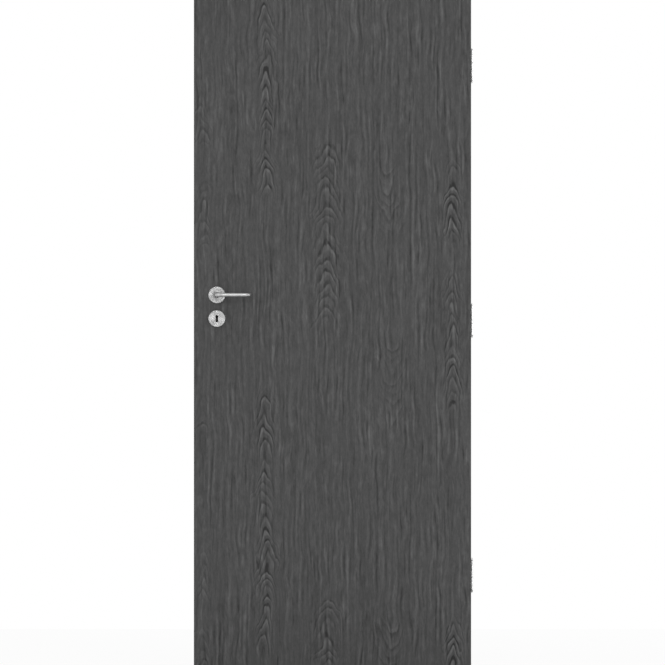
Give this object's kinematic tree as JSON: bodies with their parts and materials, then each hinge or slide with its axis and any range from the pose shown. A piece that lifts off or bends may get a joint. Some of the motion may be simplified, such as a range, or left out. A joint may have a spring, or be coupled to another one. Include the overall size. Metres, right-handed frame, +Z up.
{
  "type": "interior door",
  "caption": "Flush interior door leaf with dark wood-effect faces, butt hinges, a mortise lock, and slim levers on round rosettes; the leaf swings and the levers turn.",
  "frame": {"origin": "centre of the bottom hinge's face that is screwed to the door frame's jamb", "axes": "+X towards the jamb, from the lock edge to the hinge edge; +Y from the front face, which the picture shows, to the back face, towards which the leaf opens; +Z up"},
  "size_m": [0.8507, 0.156, 2.03],
  "materials": {
    "door_face": "dark grey wood-effect foil, matt, with pores",
    "edge_band": "dark grey wood-effect band",
    "softwood": "planed softwood",
    "chipboard": "raw tubular chipboard",
    "satin_steel": "satin stainless steel",
    "hinge_steel": "satin plated steel",
    "lock_steel": "zinc plated steel",
    "latch_plastic": "quiet black plastic latch over steel",
    "base_plastic": "moulded nylon"
  },
  "bodies": {
    "frame_side": {"bottom_hinge_frame_plate": "hinge_steel", "bottom_hinge_pin": "hinge_steel", "middle_hinge_frame_plate": "hinge_steel", "middle_hinge_pin": "hinge_steel", "top_hinge_frame_plate": "hinge_steel", "top_hinge_pin": "hinge_steel"},
    "leaf": {"front_skin": "door_face", "back_skin": "door_face", "hinge_edge_band": "edge_band", "lock_edge_band": "edge_band", "top_edge_band": "edge_band", "hinge_stile": "softwood", "lock_stile": "softwood", "bottom_rail": "softwood", "top_rail": "softwood", "lock_block": "softwood", "core_board": "chipboard", "lock_case": "lock_steel", "lock_forend": "satin_steel", "latch_bolt": "latch_plastic", "dead_bolt": "lock_steel", "front_lever_base": "base_plastic", "back_lever_base": "base_plastic", "front_key_base": "base_plastic", "back_key_base": "base_plastic", "front_lever_rosette": "satin_steel", "back_lever_rosette": "satin_steel", "front_key_rosette": "satin_steel", "back_key_rosette": "satin_steel", "bottom_hinge_leaf_plate": "hinge_steel", "middle_hinge_leaf_plate": "hinge_steel", "top_hinge_leaf_plate": "hinge_steel"},
    "levers": {"front_lever": "satin_steel", "back_lever": "satin_steel", "spindle": "lock_steel", "lock_hub": "lock_steel"}
  },
  "joints": [
    {"name": "leaf_swing", "type": "hinge", "parent": "frame_side", "child": "leaf", "pos_m": [-0.00375, 0.024, 0], "axis": [0, 0, -1], "range_deg": [0, 170]},
    {"name": "lever_turn", "type": "hinge", "parent": "leaf", "child": "levers", "pos_m": [-0.779, -0.004, 0.855], "axis": [0, 1, 0], "range_deg": [0, 40], "stiffness_Nm_per_rad": 1.2, "springref_deg": -34.38}
  ]
}
